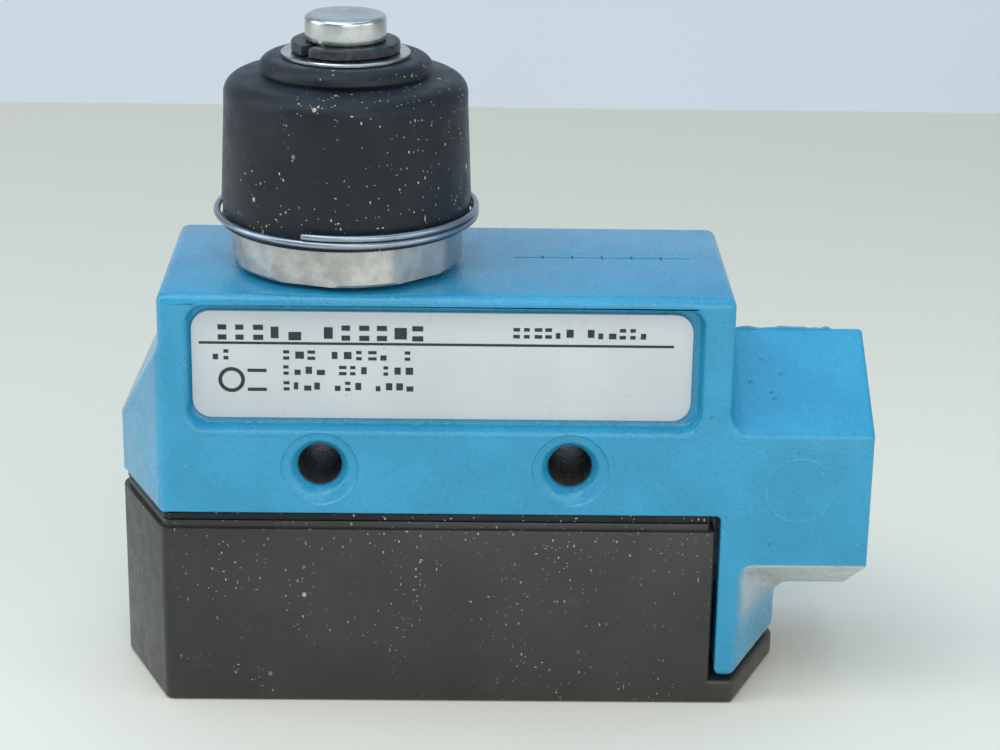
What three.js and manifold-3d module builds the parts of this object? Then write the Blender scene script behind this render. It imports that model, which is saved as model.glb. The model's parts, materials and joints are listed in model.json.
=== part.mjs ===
// Enclosed limit switch: side-mount cast housing, booted in-line plunger, deep black cover
// over a snap-action basic switch, conduit hub on the right. Millimetres, +Z up, front at -Y.

import * as THREE from 'three';
import { mergeVertices } from 'three/addons/utils/BufferGeometryUtils.js';
import Module from 'manifold-3d';

const wasm = await Module();
wasm.setup();

// ---------------------------------------------------------------- driving dimensions
const HALF_DEPTH = 16.5;            // front and back faces of housing and cover
const BODY_LEFT = -43.8;
const BODY_RIGHT = 31.75;
const BODY_TOP = 58.3;
const PARTING = 27.8;               // underside of the housing, above the gasket
const NOSE_X = -50.9;               // left tip shared by housing and cover
const NOSE_TIP_Z = 36.0;            // sloping top of the nose, at its tip
const NOSE_WALL_Z = 50.8;           // and where it meets the left wall
const TIP_PAST = 0.25;              // sharp corner of a pointed end, past its rounded tip
const EDGE = 1.3;                   // cast edge rounding
const CORNER = 1.7;                 // vertical corner rounding
const SIDE_R = 1.2;                 // rounding beside the pointed ends
const TIP_R = 3.0;

const HUB_Z = 30.0;
const HUB_R = 2 * HALF_DEPTH / Math.sqrt(3);
const HUB_END = 50.9;
const HUB_BORE = 10.2;
const HUB_BORE_END = 36.8;
const HUB_FILLET = 2.2;
const THREAD_TURNS = 6;
const THREAD_PITCH = 1.8;

const ARM_LEFT = 30.9;
const ARM_FRONT = 33.5;
const ARM_TIP = 40.7;
const ARM_BOTTOM = 4.0;

const COVER_RIGHT = 30.25;
const COVER_TOP = 26.5;
const COVER_WALL = 2.0;
const COVER_FLOOR = 2.4;
const FLANGE_TOP = 3.4;
const RIM_INSET = 0.6;
const GASKET_GAP = 0.1;
const POST_R = 3.9;

const HOLE_X = [-22.75, 10.55];     // mounting holes, 33.3 apart
const HOLE_Z = 34.2;
const HOLE_R = 2.9;
const BOSS_R = 4.3;

const RECESS = { x0: -40.4, x1: 28.1, z0: 39.2, z1: 57.0, depth: 2.0, r: 2.4 };
const LABEL = { x0: -39.4, x1: 26.3, z0: 40.9, z1: 55.7, thick: 0.45, r: 2.5 };
const LABEL_GLUE = 0.1;
const TOP_MARK = { x0: 2.9, x1: 27.0, y0: 1.3, y1: 1.6, depth: 0.25 };

const UPPER_CHAMBER = { x0: -41.2, x1: 29.0, half: 12.4, z0: 38.0, z1: 55.3 };
const LOWER_CHAMBER = { x0: -41.2, x1: 28.4, half: 13.9, z1: 38.6 };
const PASSAGE = { x0: 27.0, half: 8.2, z1: 39.2 };
const LUG = { half: 4.0, y0: 9.2, y1: 13.4, z0: 16.4, top: 38.3 };

const AXIS_X = -19.65;              // plunger axis
const PLUNGER_R = 5.4;
const PLUNGER_TOP = 91.85;
const GROOVE = { r: 4.7, z0: 87.0, z1: 88.6 };
const BUSHING_SEAT = BODY_TOP + 0.75;
const BUSHING_BORE = PLUNGER_R + 0.35;
const HEX_AF = 29.8;
const HEX_TURNED_R = 15.6;
const HEX_TURN = 12;                // degrees, one corner just right of the front
const HEX_TOP = 64.2;
const BOOT_SEAT = 67.0;
const BUSHING_STEM_R = 9.1;
const COLLAR_R = 14.2;

const WIRE = { ring: 17.35, r: 0.53, start: 66.3, end: 64.9, from: -107, turns: 1.47 };

const SWITCH_AT = { x: -11.9, z: 4.4 };             // middle of the basic switch's base
const SWITCH = { halfLength: 24.6, halfWidth: 8.72, caseTop: 21.3, top: 24.2 };
const SWITCH_HOLES = [-12.7, 12.7];                 // from the switch's middle
const SWITCH_HOLE_Z = 16.1;
const SWITCH_HOLE_R = 2.15;
const TERMINAL_X = { common: -20.5, open: 9.8, closed: 20.4 };
const CONTACT_X = 5.4;
const PIN_X = -4.4;
const STRIP_HALF = 2.6;

const CAPTIVE_X = [-45.2, 35.6];
const EARTH = { x: 21.5, z: 46.5 };

// ---------------------------------------------------------------- materials
const finishes = {
  blue: { color: 0x2f86b4, roughness: 0.38, metalness: 0.1 },
  black: { color: 0x1c1d1e, roughness: 0.5, metalness: 0.05 },
  rubber: { color: 0x15171a, roughness: 0.62, metalness: 0.0 },
  zinc: { color: 0xc6c9c8, roughness: 0.28, metalness: 1.0 },
  cast: { color: 0x9d9f9a, roughness: 0.5, metalness: 1.0 },
  dark: { color: 0x24272b, roughness: 0.42, metalness: 0.7 },
  spring: { color: 0x9aa3ad, roughness: 0.25, metalness: 1.0 },
  label: { color: 0xd2d8dc, roughness: 0.4, metalness: 0.1 },
  phenolic: { color: 0x2a201a, roughness: 0.5, metalness: 0.0 },
  brass: { color: 0xb8944a, roughness: 0.3, metalness: 1.0 },
  copper: { color: 0xb0703f, roughness: 0.3, metalness: 1.0 },
  nylon: { color: 0xb23a2a, roughness: 0.45, metalness: 0.0 },
  green: { color: 0x2f7a45, roughness: 0.4, metalness: 0.4 },
};

// ---------------------------------------------------------------- shape helpers
function solid(geometry) {
  const g = geometry.index ? geometry : geometry.clone();
  g.deleteAttribute('normal');
  g.deleteAttribute('uv');
  const merged = mergeVertices(g, 1e-4);
  return new wasm.Manifold(new wasm.Mesh({
    numProp: 3,
    vertProperties: new Float32Array(merged.attributes.position.array),
    triVerts: new Uint32Array(merged.index.array),
  }));
}

function box(x0, x1, y0, y1, z0, z1) {
  const g = new THREE.BoxGeometry(x1 - x0, y1 - y0, z1 - z0);
  g.translate((x0 + x1) / 2, (y0 + y1) / 2, (z0 + z1) / 2);
  return solid(g);
}

function flip(g) {
  const index = g.index.array;
  for (let i = 0; i < index.length; i += 3) {
    [index[i], index[i + 1]] = [index[i + 1], index[i]];
  }
  return g;
}

const AIM = {
  x: new THREE.Matrix4().makeRotationY(Math.PI / 2),
  y: new THREE.Matrix4().makeRotationX(-Math.PI / 2),
  z: new THREE.Matrix4(),
};

// Turned shape: [radius, height] pairs, round a line along x, y or z through the given point.
function turnedAlong(axis, points, at, segments = 24) {
  const g = new THREE.LatheGeometry(points.map(([r, z]) => new THREE.Vector2(r, z)), segments);
  g.rotateX(Math.PI / 2);
  g.applyMatrix4(AIM[axis]);
  g.translate(...at);
  const m = solid(g);
  return m.volume() < 0 ? solid(flip(g)) : m;
}

function turned(points, segments = 32) {
  return turnedAlong('z', points, [0, 0, 0], segments);
}

function rod(axis, at, r, from, to, segments = 24) {
  return turnedAlong(axis, [[0, from], [r, from], [r, to], [0, to]], at, segments);
}

function tube(rOut, rIn, from, to, segments = 24) {
  return turned([[rIn, from], [rOut, from], [rOut, to], [rIn, to], [rIn, from]], segments);
}

// Outline with each corner replaced by an arc of its own radius.
function rounded(points, radii, steps = 3) {
  const out = [];
  const n = points.length;
  points.forEach((p, i) => {
    const r = Array.isArray(radii) ? radii[i] : radii;
    const a = new THREE.Vector2(...points[(i + n - 1) % n]);
    const b = new THREE.Vector2(...p);
    const c = new THREE.Vector2(...points[(i + 1) % n]);
    if (!r) { out.push(b); return; }
    const u = a.clone().sub(b).normalize();
    const v = c.clone().sub(b).normalize();
    const half = Math.acos(u.dot(v)) / 2;
    const reach = r / Math.tan(half);
    const centre = u.clone().add(v).normalize().multiplyScalar(r / Math.sin(half)).add(b);
    const from = u.clone().multiplyScalar(reach).add(b).sub(centre);
    const to = v.clone().multiplyScalar(reach).add(b).sub(centre);
    const start = from.angle();
    let sweep = to.angle() - start;
    if (sweep > Math.PI) sweep -= 2 * Math.PI;
    if (sweep < -Math.PI) sweep += 2 * Math.PI;
    for (let k = 0; k <= steps; k += 1) {
      const t = start + sweep * k / steps;
      out.push(new THREE.Vector2(centre.x + r * Math.cos(t), centre.y + r * Math.sin(t)));
    }
  });
  return out;
}

function extruded(outline, length, bevel = 0, steps = 3) {
  const points = outline.map((p) => (p.isVector2 ? p : new THREE.Vector2(...p)));
  return new THREE.ExtrudeGeometry(new THREE.Shape(points), {
    depth: length - 2 * bevel,
    steps: 1,
    curveSegments: 1,
    bevelEnabled: bevel > 0,
    bevelThickness: bevel,
    bevelSize: bevel,
    bevelOffset: -bevel,
    bevelSegments: steps,
  }).translate(0, 0, bevel);
}

// Plan outline (x, y) raised from z0 to z1.
function raised(outline, z0, z1, bevel = 0, steps = 3) {
  return solid(extruded(outline, z1 - z0, bevel, steps).translate(0, 0, z0));
}

// Front outline (x, z) run from y0 to y1.
function through(outline, y0, y1, bevel = 0, steps = 2) {
  const g = extruded(outline, y1 - y0, bevel, steps).rotateX(Math.PI / 2);
  return solid(g.translate(0, y1, 0));
}

// End outline (y, z) run from x0 to x1.
function lengthwise(outline, x0, x1, bevel = 0, steps = 2) {
  const g = extruded(outline, x1 - x0, bevel, steps);
  g.applyMatrix4(new THREE.Matrix4().makeBasis(
    new THREE.Vector3(0, 1, 0), new THREE.Vector3(0, 0, 1), new THREE.Vector3(1, 0, 0)));
  return solid(g.translate(x0, 0, 0));
}

function rectangle(x0, x1, y0, y1) {
  return [[x0, y0], [x1, y0], [x1, y1], [x0, y1]];
}

class Coil extends THREE.Curve {
  constructor(radius, z0, z1, start, sweep) {
    super();
    Object.assign(this, { radius, z0, z1, start, sweep });
  }

  getPoint(t, target = new THREE.Vector3()) {
    const a = this.start + this.sweep * t;
    return target.set(
      this.radius * Math.cos(a), this.radius * Math.sin(a), this.z0 + (this.z1 - this.z0) * t);
  }
}

function coil(radius, wire, z0, z1, startDeg, turns, perTurn, sides) {
  const path = new Coil(radius, z0, z1, startDeg * Math.PI / 180, turns * 2 * Math.PI);
  const circle = [];
  for (let i = 0; i < sides; i += 1) {
    const a = 2 * Math.PI * i / sides;
    circle.push(new THREE.Vector2(wire * Math.cos(a), wire * Math.sin(a)));
  }
  const g = new THREE.ExtrudeGeometry(new THREE.Shape(circle), {
    steps: Math.round(turns * perTurn), bevelEnabled: false, curveSegments: 1, extrudePath: path,
  });
  return solid(g);
}

// ---------------------------------------------------------------- scene graph
const group = new THREE.Group();
group.name = 'limit_switch';

function assembly(name, x = 0, y = 0, z = 0) {
  const inner = new THREE.Group();
  inner.name = name;
  inner.position.set(x, y, z);
  group.add(inner);
  return inner;
}

function add(parent, name, shape, finish) {
  const mesh = shape.getMesh();
  const g = new THREE.BufferGeometry();
  g.setAttribute('position', new THREE.BufferAttribute(new Float32Array(mesh.vertProperties), 3));
  g.setIndex(new THREE.BufferAttribute(new Uint32Array(mesh.triVerts), 1));
  const flat = g.toNonIndexed();
  flat.computeVertexNormals();
  const item = new THREE.Mesh(mergeVertices(flat), new THREE.MeshStandardMaterial(finishes[finish]));
  item.name = name;
  parent.add(item);
  return item;
}

const casting = assembly('casting');
const plungerUnit = assembly('plunger_unit', AXIS_X);
const basicSwitch = assembly('basic_switch', SWITCH_AT.x, 0, SWITCH_AT.z);
const coverUnit = assembly('cover_unit');

// ---------------------------------------------------------------- shared outlines
function coverPlan(inset = 0, r = SIDE_R) {
  const slope = (BODY_LEFT - NOSE_X) / HALF_DEPTH;
  const back = inset * (Math.hypot(1, slope) - slope);
  const y = HALF_DEPTH - inset;
  return rounded([
    [BODY_LEFT + back, -y],
    [COVER_RIGHT - inset, -y], [COVER_RIGHT - inset, y],
    [BODY_LEFT + back, y],
    [NOSE_X - TIP_PAST + inset * Math.hypot(1, slope), 0],
  ], [r, r, r, r, TIP_R]);
}

function armPlan(left) {
  return rounded([
    [left, -HALF_DEPTH], [ARM_FRONT, -HALF_DEPTH], [ARM_TIP + TIP_PAST, 0],
    [ARM_FRONT, HALF_DEPTH], [left, HALF_DEPTH],
  ], [0, SIDE_R, TIP_R, SIDE_R, 0]);
}

function hexagon(r, turn, cx = 0, cy = 0) {
  const corners = [];
  for (let i = 0; i < 6; i += 1) {
    const a = turn + i * Math.PI / 3;
    corners.push([cx + r * Math.cos(a), cy + r * Math.sin(a)]);
  }
  return corners;
}

// ---------------------------------------------------------------- housing
function hubFillet(side) {
  const r = HUB_FILLET;
  const bury = 0.6;
  const profile = [new THREE.Vector2(-bury, -bury), new THREE.Vector2(r, -bury)];
  for (let i = 0; i <= 3; i += 1) {
    const a = -Math.PI / 2 - i * Math.PI / 6;
    profile.push(new THREE.Vector2(r + r * Math.cos(a), r + r * Math.sin(a)));
  }
  profile.push(new THREE.Vector2(-bury, r));
  const g = extruded(profile, HUB_R - bury);
  const down = new THREE.Vector3(0, side * Math.cos(Math.PI / 6), -0.5);
  const out = new THREE.Vector3(0, side * 0.5, Math.cos(Math.PI / 6));
  const x = new THREE.Vector3(1, 0, 0);
  g.applyMatrix4(new THREE.Matrix4().makeBasis(x, out, side > 0 ? down.negate() : down));
  const start = side > 0
    ? [BODY_RIGHT, HALF_DEPTH - 0.3, HUB_Z + HUB_R / 2 + 0.1]
    : [BODY_RIGHT, -0.2, HUB_Z + HUB_R - 0.1];
  return solid(g.translate(...start));
}

function castingOutside() {
  const body = raised(
    rounded(rectangle(BODY_LEFT, BODY_RIGHT, -HALF_DEPTH, HALF_DEPTH), CORNER),
    PARTING - 6, BODY_TOP, EDGE);
  const nosePlan = rounded([
    [BODY_LEFT + 3, -HALF_DEPTH], [BODY_LEFT + 3, HALF_DEPTH],
    [BODY_LEFT, HALF_DEPTH], [NOSE_X - TIP_PAST, 0], [BODY_LEFT, -HALF_DEPTH],
  ], [0, 0, SIDE_R, TIP_R, SIDE_R]);
  const nose = raised(nosePlan, PARTING, NOSE_WALL_Z).intersect(through([
    [BODY_LEFT + 4, PARTING - 1], [BODY_LEFT + 4, NOSE_WALL_Z], [BODY_LEFT, NOSE_WALL_Z],
    [NOSE_X, NOSE_TIP_Z], [NOSE_X - 2, NOSE_TIP_Z - 1], [NOSE_X - 2, PARTING - 1],
  ], -18, 18));
  const hubPlan = rounded(hexagon(HUB_R + 0.15, Math.PI / 6, 0, HUB_Z), 1.0, 2);
  const hub = lengthwise(hubPlan, BODY_RIGHT - 4, HUB_END, 0.6)
    .intersect(box(BODY_RIGHT - 4, 60, -HALF_DEPTH, HALF_DEPTH, 0, 60))
    .subtract(box(0, ARM_LEFT, -20, 20, 0, PARTING));
  const fillets = hubFillet(-1).add(hubFillet(1))
    .intersect(box(BODY_RIGHT - 1, 36, -HALF_DEPTH, HALF_DEPTH, 35, 51));
  return body.intersect(box(-60, 60, -20, 20, PARTING, 70))
    .add(nose)
    .add(hub)
    .add(raised(armPlan(ARM_LEFT), ARM_BOTTOM, HUB_Z, 0.9))
    .add(fillets);
}

// A tall chamber above the mounting bosses, a wide one below, a way into the hub.
function chambers() {
  const [u, l, p] = [UPPER_CHAMBER, LOWER_CHAMBER, PASSAGE];
  let inside = box(u.x0, u.x1, -u.half, u.half, u.z0, u.z1)
    .add(box(l.x0, l.x1, -l.half, l.half, PARTING - 1, l.z1))
    .add(box(p.x0, HUB_BORE_END + 1, -p.half, p.half, PARTING + 0.2, p.z1));
  for (const x of HOLE_X) inside = inside.subtract(rod('y', [x, 0, HOLE_Z], BOSS_R, -18, 18));
  for (const hole of SWITCH_HOLES) {
    const x = SWITCH_AT.x + hole;
    inside = inside.subtract(box(x - LUG.half, x + LUG.half, LUG.y0, 20, 20, LUG.top));
  }
  return inside;
}

// Bore of the conduit hub, with shallow thread grooves and a flared mouth.
function conduitBore() {
  const profile = [[0, HUB_BORE_END], [HUB_BORE - 0.5, HUB_BORE_END]];
  for (let i = 0; i < THREAD_TURNS; i += 1) {
    const x = HUB_BORE_END + 1.4 + i * THREAD_PITCH;
    profile.push([HUB_BORE - 0.4, x - 0.7], [HUB_BORE + 0.3, x]);
  }
  profile.push([HUB_BORE - 0.2, HUB_END - 1.0], [HUB_BORE + 0.9, HUB_END + 0.1], [0, HUB_END + 0.1]);
  return turnedAlong('x', profile, [0, 0, HUB_Z]);
}

// Cross hole with a sunk mouth on both faces.
function mountingHole(x) {
  const half = [[4.1, HALF_DEPTH + 0.5], [4.1, HALF_DEPTH - 0.15], [3.5, HALF_DEPTH - 0.75],
    [HOLE_R, HALF_DEPTH - 1.2]];
  const profile = [[0, -HALF_DEPTH - 0.5], ...half.map(([r, y]) => [r, -y]), ...half.reverse(),
    [0, HALF_DEPTH + 0.5]];
  return turnedAlong('y', profile, [x, 0, HOLE_Z]);
}

function recess() {
  const { x0, x1, z0, z1, depth, r } = RECESS;
  const floor = rounded(rectangle(x0 + 0.4, x1 - 0.4, z0 + 0.45, z1 - 0.3), r, 4);
  const front = rounded(rectangle(x0, x1, z0, z1), r, 4);
  return through(floor, -HALF_DEPTH - 0.5, -HALF_DEPTH + depth)
    .add(through(front, -HALF_DEPTH - 0.5, -HALF_DEPTH + depth * 0.45));
}

function makeHousing() {
  let body = castingOutside().subtract(chambers());
  for (const hole of SWITCH_HOLES) {
    const x = SWITCH_AT.x + hole;
    const z = SWITCH_AT.z + SWITCH_HOLE_Z;
    body = body.add(box(x - LUG.half, x + LUG.half, LUG.y0, LUG.y1, LUG.z0, PARTING + 2));
    body = body.subtract(rod('y', [x, 0, z], SWITCH_HOLE_R + 0.05, 8, 15, 16));
  }
  body = body.subtract(conduitBore()).subtract(recess());
  for (const x of HOLE_X) body = body.subtract(mountingHole(x));
  return body
    .subtract(rod('z', [AXIS_X, 0, 0], BUSHING_STEM_R + 0.3, 50, 60, 32))
    .subtract(rod('z', [CAPTIVE_X[0], 0, 0], 1.8, 20, 36.5, 16))
    .subtract(rod('z', [CAPTIVE_X[1], 0, 0], 1.8, 0, 17, 16))
    .subtract(rod('y', [EARTH.x, 0, EARTH.z], 1.9, 12, 15.2, 16))
    .subtract(box(TOP_MARK.x0, TOP_MARK.x1, TOP_MARK.y0, TOP_MARK.y1,
      BODY_TOP - TOP_MARK.depth, BODY_TOP + 1));
}

add(casting, 'housing', makeHousing(), 'blue');

const labelBack = -HALF_DEPTH + RECESS.depth - LABEL_GLUE;
add(casting, 'nameplate', through(
  rounded(rectangle(LABEL.x0, LABEL.x1, LABEL.z0, LABEL.z1), LABEL.r, 5),
  labelBack - LABEL.thick, labelBack), 'label');

// ---------------------------------------------------------------- plunger unit, on its own axis
const AXIS = [0, 0, 0];
const hexCorners = hexagon(HEX_AF / Math.sqrt(3), (HEX_TURN - 90) * Math.PI / 180);
const hex = raised(hexCorners, BUSHING_SEAT, HEX_TOP)
  .intersect(rod('z', AXIS, HEX_TURNED_R, BUSHING_SEAT, HEX_TOP, 36));
const collar = turned([
  [0, HEX_TOP - 1], [COLLAR_R, HEX_TOP - 1], [COLLAR_R, 65.0], [15.2, 65.6], [15.2, BOOT_SEAT],
  [14.7, BOOT_SEAT + 0.5], [7.6, BOOT_SEAT + 0.5], [7.6, 76], [7.1, 76.5], [0, 76.5],
], 28);
const bushing = hex
  .add(collar)
  .add(rod('z', AXIS, BUSHING_STEM_R, 51.0, BUSHING_SEAT + 1, 28))
  .subtract(rod('z', AXIS, BUSHING_BORE, 40, 80));
add(plungerUnit, 'plunger_bushing', bushing, 'cast');
add(plungerUnit, 'bushing_seal',
  tube(13.2, BUSHING_STEM_R + 0.4, BODY_TOP + 0.05, BUSHING_SEAT - 0.05), 'rubber');

add(plungerUnit, 'plunger', turned([
  [0, 80], [3.4, 80], [3.4, 48.6], [7.2, 48.6], [7.2, 50.2], [PLUNGER_R, 50.4],
  [PLUNGER_R, GROOVE.z0], [GROOVE.r, GROOVE.z0], [GROOVE.r, GROOVE.z1], [PLUNGER_R, GROOVE.z1],
  [PLUNGER_R, PLUNGER_TOP - 0.6], [5.22, PLUNGER_TOP - 0.18], [4.8, PLUNGER_TOP], [0, PLUNGER_TOP],
], 28), 'zinc');

const ringGap = raised([[0, 0], [-9, -7.2], [-7.4, -9]], 87, 89);
add(plungerUnit, 'retaining_ring', tube(7.2, 5.0, 87.15, 88.45, 32).subtract(ringGap), 'dark');
add(plungerUnit, 'boot_washer', tube(8.55, 5.7, 86.5, GROOVE.z0, 28), 'zinc');
add(plungerUnit, 'inner_boot_washer', tube(10.4, 5.75, 83.6, 84.6), 'zinc');

add(plungerUnit, 'plunger_boot', turned([
  [5.75, 86.4], [10.4, 86.4], [11.3, 85.9], [11.55, 84.9], [11.1, 84.3], [11.2, 84.05],
  [13.9, 83.85], [15.4, 83.2], [16.15, 81.6], [16.45, 74.0], [16.7, 67.6], [16.55, 66.8],
  [16.55, 64.9], [16.8, 64.6], [16.8, 64.3], [15.5, 64.3], [15.5, 65.2], [15.7, 67.8],
  [14.6, 69.0], [14.4, 81.6], [13.7, 82.3], [10.9, 82.5], [10.9, 84.8], [5.75, 84.8], [5.75, 86.4],
]), 'rubber');
add(plungerUnit, 'boot_clamp_wire',
  coil(WIRE.ring, WIRE.r, WIRE.start, WIRE.end, WIRE.from, WIRE.turns, 36, 6), 'spring');
add(plungerUnit, 'return_spring', coil(9.0, 0.55, 68.15, 82.95, 20, 5.0, 14, 5), 'spring');
add(plungerUnit, 'overtravel_spring', coil(2.45, 0.38, 70.6, 79.5, 0, 5.0, 9, 4), 'spring');

// The lower plunger steps sideways to clear the left mounting boss.
add(plungerUnit, 'lower_plunger', rod('z', AXIS, 2.95, 39.4, 70.1, 20)
  .add(box(-2.75, 4.95, -2.6, 2.6, 39.4, 41.4))
  .add(box(1.55, 4.95, -2.6, 2.6, 30.0, 41.4)), 'zinc');

// ---------------------------------------------------------------- basic switch, from its base
const switchPlan = rounded(rectangle(
  -SWITCH.halfLength, SWITCH.halfLength, -SWITCH.halfWidth, SWITCH.halfWidth), 0.6, 1);
const BAYS = [[-25.6, -16.3], [5.7, 13.9], [16.2, 25.6]];

function makeSwitchCase() {
  const end = SWITCH.halfLength - 1.4;
  let shell = raised(switchPlan, 0, SWITCH.caseTop)
    .subtract(box(-9.9, 9.1, -6.6, 6.6, 8.0, 25.6))
    .subtract(box(-end, end, -3.6, 3.6, 8.0, 12.5));
  for (const [a, b] of BAYS) shell = shell.subtract(box(a, b, -7.0, 7.0, -1, 6.1));
  for (const x of Object.values(TERMINAL_X)) shell = shell.subtract(rod('z', [x, 0, 0], 3.4, 4.6, 8.6, 16));
  for (const x of SWITCH_HOLES) {
    shell = shell.subtract(rod('y', [x, 0, SWITCH_HOLE_Z], SWITCH_HOLE_R, -10, 10, 16));
  }
  return shell;
}

add(basicSwitch, 'switch_case', makeSwitchCase(), 'phenolic');
add(basicSwitch, 'switch_cap', raised(switchPlan, SWITCH.caseTop + 0.1, SWITCH.top)
  .subtract(rod('z', [PIN_X, 0, 0], 2.3, 20, 30, 16)), 'phenolic');
const pin = add(basicSwitch, 'switch_pin', turned([
  [0, 12.55], [1.2, 12.55], [2.0, 13.5], [2.0, 24.9], [1.4, 25.45], [0, 25.45]], 16), 'nylon');
pin.position.x = PIN_X;

function strip(x0, x1, z0, z1) {
  return box(x0, x1, -STRIP_HALF, STRIP_HALF, z0, z1);
}

function contact(r, z0, z1) {
  return rod('z', [CONTACT_X, 0, 0], r, z0, z1, 12);
}

// A plate in its bay, a threaded neck through the case, and strips that lead to its contact.
function terminal(x, ...strips) {
  let t = box(x - 3.5, x + 3.5, -5.2, 5.2, 4.9, 5.95).add(rod('z', [x, 0, 0], 3.0, 5.6, 8.4, 16));
  for (const piece of strips) t = t.add(piece);
  return t.subtract(rod('z', [x, 0, 0], 1.95, 4.6, 7.9, 16));
}

add(basicSwitch, 'common_terminal', terminal(TERMINAL_X.common,
  strip(-22.9, -8.3, 8.3, 9.1), strip(-9.5, -8.3, 8.6, 11.2)), 'brass');
add(basicSwitch, 'open_terminal', terminal(TERMINAL_X.open,
  strip(2.9, 12.3, 8.3, 8.9), contact(1.5, 8.6, 9.5)), 'brass');
add(basicSwitch, 'closed_terminal', terminal(TERMINAL_X.closed,
  strip(17.5, 22.8, 8.3, 9.0), strip(21.8, 22.8, 8.6, 11.8), strip(7.7, 22.8, 11.0, 11.8),
  strip(7.7, 8.6, 11.0, 14.6), strip(3.5, 8.6, 13.8, 14.6), contact(1.5, 13.1, 14.2)), 'brass');
add(basicSwitch, 'contact_blade',
  box(-9.4, 6.9, -1.9, 1.9, 11.7, 12.15).add(contact(1.3, 11.0, 12.95)), 'copper');

// ---------------------------------------------------------------- fasteners
const ALONG_Y = -Math.PI / 2;       // turn about x that points a fastener from front to back

// Slotted screw with its head's face at the origin and its shank along +z.
function screw(headR, shankR, headHeight, length) {
  return turned([
    [0, 0], [headR - 0.5, 0], [headR, 0.6], [headR, headHeight], [shankR, headHeight],
    [shankR, length - 0.5], [shankR - 0.5, length], [0, length],
  ], 16).subtract(box(-5, 5, -0.45, 0.45, -1, 0.9));
}

function cupWasher() {
  return turned([[1.9, 0], [3.3, 0], [3.3, 1.5], [2.8, 1.5], [2.8, 0.6], [1.9, 0.6], [1.9, 0]], 16);
}

for (const [name, x] of Object.entries(TERMINAL_X)) {
  const fixing = add(basicSwitch, `${name}_terminal_screw`, screw(3.1, 1.65, 2.4, 7.0), 'zinc');
  fixing.position.set(x, 0, 0.6);
  const cup = add(basicSwitch, `${name}_cup_washer`, cupWasher(), 'brass');
  cup.position.set(x, 0, 3.2);
}

['left', 'right'].forEach((side, i) => {
  const fixing = add(basicSwitch, `${side}_switch_screw`, screw(3.3, 1.85, 2.3, 25.1), 'zinc');
  fixing.position.set(SWITCH_HOLES[i], -12.2, SWITCH_HOLE_Z);
  fixing.rotation.x = ALONG_Y;
  const lock = add(basicSwitch, `${side}_lock_washer`, tube(3.5, SWITCH_HOLE_R, 0, 0.8, 16), 'spring');
  lock.position.set(SWITCH_HOLES[i], -9.75, SWITCH_HOLE_Z);
  lock.rotation.x = ALONG_Y;
});

const earthScrew = add(casting, 'earth_screw', screw(3.2, 1.6, 2.2, 6.0), 'green');
earthScrew.position.set(EARTH.x, 8.9, EARTH.z);
earthScrew.rotation.x = ALONG_Y;
const earthClamp = add(casting, 'earth_clamp', tube(4.3, 1.95, 0, 0.9, 16), 'brass');
earthClamp.position.set(EARTH.x, 11.3, EARTH.z);
earthClamp.rotation.x = ALONG_Y;

// ---------------------------------------------------------------- cover, gasket, captive screws
function makeGasket() {
  const [low, high] = [COVER_TOP + GASKET_GAP, PARTING - GASKET_GAP];
  const [x] = CAPTIVE_X;
  return raised(coverPlan(0.5), low, high)
    .subtract(raised(coverPlan(COVER_WALL + 0.3), 20, 30))
    .add(rod('z', [x, 0, 0], POST_R, low, high, 20))
    .subtract(rod('z', [x, 0, 0], 2.4, 20, 30, 20));
}

function makeCover() {
  const [left, right] = CAPTIVE_X;
  const rim = raised(coverPlan(-1), COVER_TOP - 1.0, COVER_TOP + 1)
    .subtract(raised(coverPlan(RIM_INSET), COVER_TOP - 2, COVER_TOP + 2));
  let shell = raised(coverPlan(0), 0, COVER_TOP + 5, 0.8)
    .intersect(box(-60, 60, -20, 20, -1, COVER_TOP))
    .subtract(rim)
    .add(raised(armPlan(COVER_RIGHT - 3), 0, FLANGE_TOP, 0.7))
    .subtract(raised(coverPlan(COVER_WALL, 0.8), COVER_FLOOR, COVER_TOP + 1))
    .add(rod('z', [left, 0, 0], POST_R, 1.0, COVER_TOP))
    .subtract(rod('z', [left, 0, 0], 2.3, -1, COVER_TOP + 2, 20))
    .subtract(rod('z', [right, 0, 0], 2.3, -1, FLANGE_TOP + 2, 20));
  for (const x of CAPTIVE_X) shell = shell.subtract(rod('z', [x, 0, 0], 3.7, -1, 2.2, 20));
  return shell;
}

add(coverUnit, 'cover_gasket', makeGasket(), 'rubber');
add(coverUnit, 'cover', makeCover(), 'black');
const captiveLength = { left: 35.3, right: 15.3 };
['left', 'right'].forEach((side, i) => {
  const captive = add(coverUnit, `${side}_cover_screw`, screw(3.3, 1.6, 1.8, captiveLength[side]), 'zinc');
  captive.position.set(CAPTIVE_X[i], 0, 0.2);
});

export default group;
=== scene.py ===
"""Looks of the enclosed limit switch: painted casting, rubber boot, plated plunger, black cover."""

import json
import math
import random

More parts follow.
